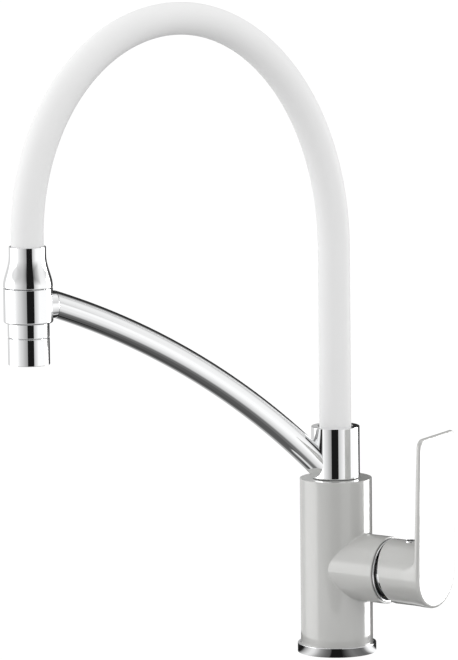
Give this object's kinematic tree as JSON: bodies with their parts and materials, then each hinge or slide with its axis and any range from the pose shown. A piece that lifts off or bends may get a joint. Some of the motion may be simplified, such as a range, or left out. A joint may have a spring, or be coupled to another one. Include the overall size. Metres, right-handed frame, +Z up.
{
  "type": "flexible kitchen faucet",
  "caption": "Single-lever kitchen faucet with a white flexible spout hose, a curved chrome arm that holds the pull-up head, and a side lever.",
  "frame": {"origin": "centre of the body's underside, on the plane of the deck", "axes": "+Z up along the body's axis and the swivel's axis; the spout lies in the XZ plane and points to -X; the lever's boss points 62 degrees from +X towards -Y"},
  "size_m": [0.3059, 0.1126, 0.4563],
  "materials": {
    "white_paint": "gloss white lacquer on brass",
    "chrome": "polished",
    "silicone": "smooth matte white silicone",
    "hose_rubber": "matte",
    "seal_rubber": "matte",
    "brass": "turned",
    "steel": "turned",
    "grey_plastic": "moulded",
    "white_plastic": "moulded",
    "ceramic": "lapped"
  },
  "bodies": {
    "faucet_body": {"body": "white_paint", "base_ring": "chrome", "base_seal": "seal_rubber", "valve_base": "grey_plastic", "hot_port_seal": "seal_rubber", "cold_port_seal": "seal_rubber", "mixed_port_seal": "seal_rubber", "fixed_disc": "ceramic", "cartridge_housing": "grey_plastic", "cartridge_nut": "brass", "cartridge_cover": "chrome", "swivel_spigot": "brass", "lower_spigot_seal": "seal_rubber", "upper_spigot_seal": "seal_rubber", "thrust_washer": "white_plastic", "spigot_clip": "steel"},
    "temperature_carrier": {"cartridge_carrier": "white_plastic", "pivot_pin": "steel"},
    "lever": {"handle": "white_paint", "lever_stem": "brass", "handle_screw": "steel", "screw_plug": "chrome"},
    "valve_disc": {"moving_disc": "ceramic", "disc_driver": "white_plastic"},
    "spout": {"swivel_collar": "chrome", "collar_nipple": "brass", "holder_arm": "chrome", "holder_ring": "chrome", "ring_liner": "grey_plastic", "hose_sleeve": "silicone", "hose_core": "hose_rubber"},
    "spray_head": {"hose_cone": "chrome", "head_nipple": "brass", "head_barrel": "chrome", "sleeve_seal": "seal_rubber"},
    "outlet": {"outlet_sleeve": "chrome", "spray_face": "grey_plastic", "aerator": "steel"}
  },
  "joints": [
    {"name": "spout_swivel", "type": "hinge", "parent": "faucet_body", "child": "spout", "pos_m": [0, 0, 0.14], "axis": [0, 0, 1], "continuous": true},
    {"name": "temperature_turn", "type": "hinge", "parent": "faucet_body", "child": "temperature_carrier", "pos_m": [0.01972, -0.03708, 0.061], "axis": [0.4695, -0.8829, 0], "range_deg": [-45, 45]},
    {"name": "flow_lift", "type": "hinge", "parent": "temperature_carrier", "child": "lever", "pos_m": [0.01972, -0.03708, 0.061], "axis": [0.8829, 0.4695, 0], "range_deg": [0, 17]},
    {"name": "disc_slide", "type": "slide", "parent": "temperature_carrier", "child": "valve_disc", "axis": [0, 0, 1], "range_m": [0, 0.00476]},
    {"name": "head_lift", "type": "slide", "parent": "spout", "child": "spray_head", "axis": [0, 0, 1], "range_m": [0, 0.055], "deforming": ["hose_sleeve", "hose_core"]},
    {"name": "outlet_turn", "type": "hinge", "parent": "spray_head", "child": "outlet", "pos_m": [-0.23, 0, 0.2264], "axis": [0, 0, 1], "range_deg": [0, 90]}
  ],
  "couplings": [
    {"joint": "disc_slide", "follows": "flow_lift", "m_per_rad": 0.016}
  ]
}
